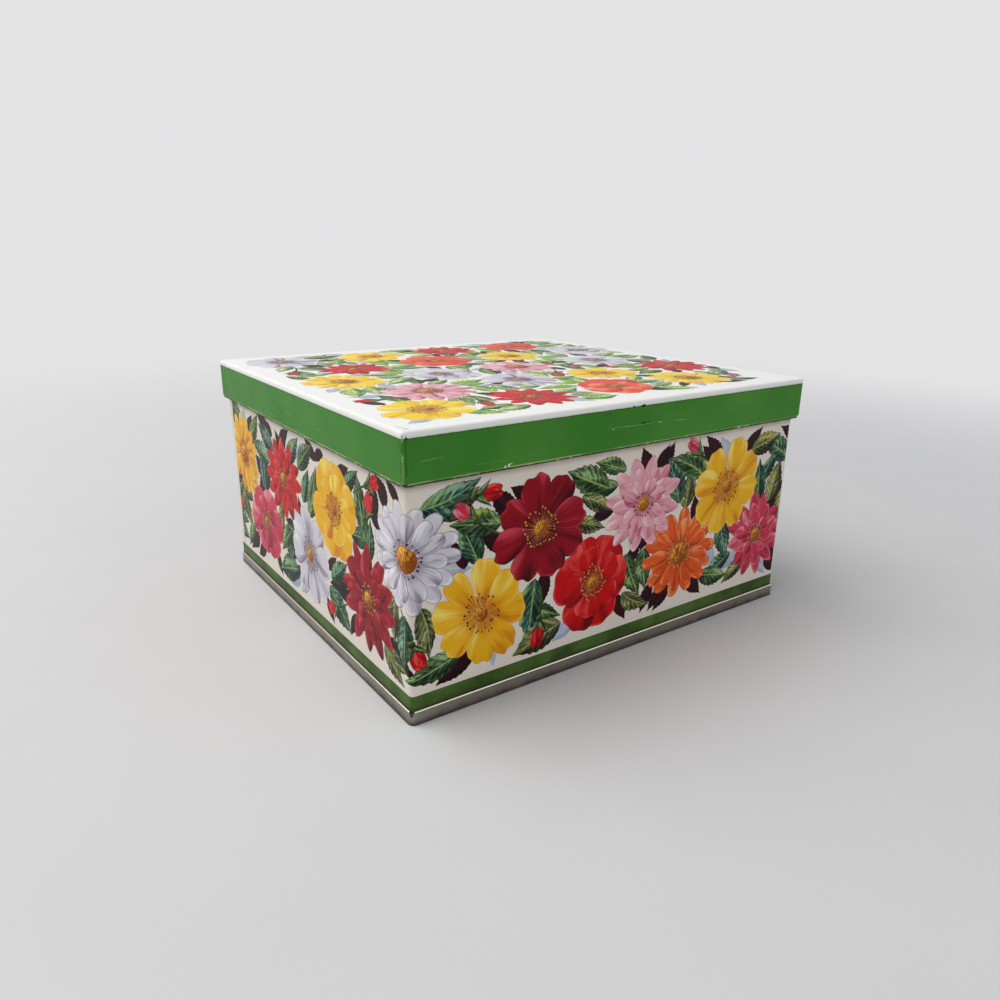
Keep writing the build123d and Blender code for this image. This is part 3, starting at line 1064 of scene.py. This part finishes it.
def print_lid(inks):
    """Five staggered rows of flowers; every second row is printed over its neighbours."""
    flowers = []
    for row in (0, 2, 4, 1, 3):
        for column in range(4):
            kind, tone = LID_KINDS[(3 * row + 2 * column) % len(LID_KINDS)]
            stagger = LID_STAGGER if row % 2 else -LID_STAGGER
            x = LID_COLUMNS_APART * (column - 1.5) + stagger + DICE.uniform(-LID_STRAY, LID_STRAY)
            y = LID_ROWS_APART * (row - 2) + DICE.uniform(-LID_STRAY, LID_STRAY)
            flowers.append((kind, tone, x, y, DICE.uniform(*LID_RADII)))
    width = 2 * (LID_HALF_X - LID_MARGIN)
    depth = 2 * (LID_HALF_Y - LID_MARGIN)
    top = Field(-width / 2, -depth / 2, width, depth, False)
    sets = [
        (8, lambda: bud(("scarlet", "rose"), 11, 14), 0.66),
        (96, lambda: loose_leaf(("sage_leaf", "spring_leaf", "green_leaf", "sage_leaf"), 17, 26), 0.42),
        (30, lambda: loose_leaf(("night_leaf",), 12, 20), 0.35),
        (24, lambda: loose_leaf(("slate_leaf",), 12, 18), 0.3),
    ]

    def quarter(middle):
        side = "left" if middle[0] < 0 else "right"
        return f"leaves_lid_{side}_" + ("front" if middle[1] < 0 else "back")

    print_field(top, flowers, quarter, lambda number: f"flower_{number + 1}_lid", sets)
    for name, parts in top.parts.items():
        print_piece(name, parts, 0.0, on_the_lid, ([], []), inks, "lid")


# Marks of use on the lid

# The least and greatest length of the stray rubs
STRAY_SHORT = 6
STRAY_LONG = 24

# Rubs with their two ends, width and number of hairlines, and chips with their place and two sizes
FRONT_RUBS = [
    ("scratch", (-113.5, 112.9), (-102.0, 113.1), 0.13, 9),
    ("bare_line", (-108.5, 113.2), (-101.5, 113.1), 0.08, 3),
    ("bare_line", (-24, 114.1), (8, 113.4), 0.1, 5),
    ("bare_line", (6, 113.9), (40, 112.4), 0.1, 6),
    ("scratch", (-88, 108.2), (-61, 107.1), 0.1, 3),
    ("scratch", (58, 116.8), (93, 117.5), 0.1, 3),
    ("dark_chip", (-22, 121.9), (-12, 121.8), 0.3, 2),
]
FRONT_CHIPS = [
    ("bare_chip", (-73.6, 105.1), 1.5, 0.9),
    ("bare_chip", (-71.9, 105.5), 1.2, 1.5),
    ("bare_chip", (-70.7, 106.1), 0.8, 0.5),
    ("dark_chip", (-72.8, 105.0), 0.5, 0.7),
    ("dark_chip", (1.6, 122.2), 3.0, 1.0),
    ("dark_chip", (-4.2, 122.4), 1.2, 0.6),
    ("dark_chip", (-21.0, 120.5), 0.7, 0.5),
    ("dark_chip", (2.4, 114.3), 3.4, 0.5),
    ("dark_chip", (5.6, 114.6), 0.6, 0.5),
    ("bare_line", (-16.0, 113.5), 1.8, 0.4),
    ("bare_line", (12.8, 113.5), 2.6, 0.4),
    ("dark_chip", (-118.0, 122.3), 0.8, 0.7),
]
CORNER_RUBS = [
    ("scuff", (-118.2, -100.6), (-115.2, -108.6), 0.14, 6),
]
CORNER_CHIPS = [
    ("dark_chip", (-117.9, -108.8), 0.8, 0.5),
    ("scuff", (-116.6, -108.3), 1.4, 0.7),
]


def rub(start, end, width, count):
    """Broken hairlines side by side from one point towards another, each over a part of the way."""
    start = np.array(start)
    way = end - start
    turn = math.atan2(way[1], way[0]) - math.pi / 2
    lines = []
    for _ in range(count):
        first, last = np.sort(DICE.uniform(0, 1, 2))
        line = stroke(math.hypot(*way) * (last - first + 0.1), width, width / 3, DICE.normal(0, 0.01), 5)
        lines.append(line.moved(turn, start + way * first + (0, DICE.normal(0, 1.5 * width))))
    return joined(lines)


def stray_rubs(count, half):
    """Light hairlines at random over a skirt, as handling leaves them."""
    found = []
    for _ in range(count):
        along = DICE.uniform(-half, half - STRAY_LONG)
        start = np.array([along, DICE.uniform(SKIRT_FOOT + 3, LID_TOP - 6)])
        end = start + (DICE.uniform(STRAY_SHORT, STRAY_LONG), DICE.normal(0, 0.9))
        found.append(("scratch", start, end, DICE.uniform(0.08, 0.14), 4))
    return found


def print_marks(inks):
    """The marks of use as thin flat pieces on the front skirt, the other skirts and the near top corner."""
    sheets = {
        "marks_skirt_front": (FRONT_RUBS, FRONT_CHIPS, on_a_skirt(0)),
        "marks_skirt_right": (stray_rubs(7, LID_HALF_Y - 12), [], on_a_skirt(1)),
        "marks_skirt_back": (stray_rubs(7, LID_HALF_X - 12), [], on_a_skirt(2)),
        "marks_skirt_left": (stray_rubs(5, LID_HALF_Y - 12), [], on_a_skirt(3)),
        "marks_lid_corner": (CORNER_RUBS, CORNER_CHIPS, on_the_lid),
    }
    for name, (rubs, chips, carry) in sheets.items():
        shapes = [(rub(start, end, width, count), tone) for tone, start, end, width, count in rubs]
        shapes += [(chip(width, height).moved(0.0, place), tone) for tone, place, width, height in chips]
        parts = [(shape, level, tone, "line", 0.5) for level, (shape, tone) in enumerate(shapes)]
        print_piece(name, parts, 0.0, carry, ([], []), inks, "lid")


# The studio


def camera():
    """The photograph's view: place, heading, pitch and roll fitted to the tin's edges."""
    heading = math.radians(-35.24)
    pitch = math.radians(-17.83)
    roll = math.radians(0.68)
    place = Vector((-0.2494, -0.3563, 0.1882))
    turn = Matrix.Rotation(heading, 4, "Z") @ Matrix.Rotation(math.pi / 2 + pitch, 4, "X")
    data = bpy.data.cameras.new("camera")
    data.lens = 28.15
    data.sensor_width = 36.0
    data.clip_start = 0.01
    viewer = bpy.data.objects.new("camera", data)
    viewer.matrix_world = Matrix.Translation(place) @ turn @ Matrix.Rotation(roll, 4, "Z")
    bpy.context.scene.collection.objects.link(viewer)
    bpy.context.scene.camera = viewer


def lamp(name, place, aim, size, power, colour):
    """A square soft lamp at place that shines towards aim."""
    data = bpy.data.lights.new(name, "AREA")
    data.size = size
    data.energy = power
    data.color = colour
    light = bpy.data.objects.new(name, data)
    way = Vector(aim) - Vector(place)
    turn = way.to_track_quat("-Z", "Y").to_matrix().to_4x4()
    light.matrix_world = Matrix.Translation(Vector(place)) @ turn
    bpy.context.scene.collection.objects.link(light)


# The backdrop's colour and how much of it gloss sees, the room's colour and light, the floor's half width
# in metres, and where it starts and ends to fade, in millimetres
BACKDROP = (0.77, 0.77, 0.78, 1.0)
GLOSSY_SHARE = 0.4
ROOM = (0.95, 0.97, 1.0, 1.0)
ROOM_LIGHT = 0.36
FLOOR_HALF = 6.0
FADE_START = 300.0
FADE_END = 1100.0


def floor():
    """A wide flat floor in pale grey, which fades into the backdrop's own tone far from the tin."""
    corners = FLOOR_HALF * np.array([(-1, -1, 0), (1, -1, 0), (1, 1, 0), (-1, 1, 0)])
    mesh = bpy.data.meshes.new("floor")
    mesh.from_pydata(corners.tolist(), [], [(0, 1, 2, 3)])
    plane = bpy.data.objects.new("floor", mesh)
    bpy.context.scene.collection.objects.link(plane)
    nodes = Nodes(bpy.data.materials.new("floor_paper"))
    position, x, y, z = nodes.place()
    grain = nodes.noise(position, 0.02, 3.0)
    paper = nodes.mix(grain, rgb(211, 211, 212), rgb(216, 216, 217))
    nodes.surface(Base_Color=paper, Roughness=0.85)
    away = nodes.math("SQRT", nodes.total(nodes.times(x, x), nodes.times(y, y)))
    path = nodes.add("LightPath")
    seen = nodes.math("MAXIMUM", path.outputs["Is Camera Ray"], path.outputs["Is Glossy Ray"])
    far = nodes.times(nodes.step(away, FADE_START, FADE_END), seen)
    glow = nodes.add("Emission", {"Color": BACKDROP, "Strength": 1.0})
    blend = nodes.add("MixShader", {0: far, 1: nodes.shader.outputs[0], 2: glow.outputs[0]})
    nodes.set_input(nodes.tree.nodes["Material Output"], "Surface", blend.outputs[0])
    mesh.materials.append(nodes.owner)


def world():
    """Pale surroundings: a low even light, with the backdrop where the camera and, dimmer, gloss see it."""
    nodes = Nodes(bpy.data.worlds.new("studio"))
    nodes.tree.nodes.clear()
    path = nodes.add("LightPath")
    in_gloss = nodes.times(path.outputs["Is Glossy Ray"], GLOSSY_SHARE)
    seen = nodes.total(in_gloss, path.outputs["Is Camera Ray"])
    dim = nodes.add("Background", {"Color": ROOM, "Strength": ROOM_LIGHT})
    pale = nodes.add("Background", {"Color": BACKDROP, "Strength": 1.0})
    mixed = nodes.add("MixShader", {0: seen, 1: dim.outputs[0], 2: pale.outputs[0]})
    nodes.add("OutputWorld", {"Surface": mixed.outputs[0]})
    bpy.context.scene.world = nodes.owner


bpy.context.scene.view_settings.view_transform = "Standard"
camera()
world()
floor()
lamp("key", (-0.78, 0.45, 1.5), (0, 0, 0.06), size=1.6, power=25.5, colour=(1.0, 0.99, 0.975))
lamp("fill", (0.7, -1.4, 0.8), (0, 0, 0.05), size=1.4, power=4.0, colour=(0.98, 0.985, 1.0))

walls_lacquer = wall_material()
dress("body_front_half", walls_lacquer)
dress("body_back_half", walls_lacquer)
dress("lid", lid_material())
dress("bottom_pan", pan_material())

INKS = {
    "petal": ink_material("petal_ink", paint_petal),
    "leaf": ink_material("leaf_ink", paint_leaf),
    "heart": ink_material("heart_ink", paint_heart),
    "line": ink_material("line_ink", paint_line),
}
print_walls(INKS)
print_lid(INKS)
print_marks(INKS)
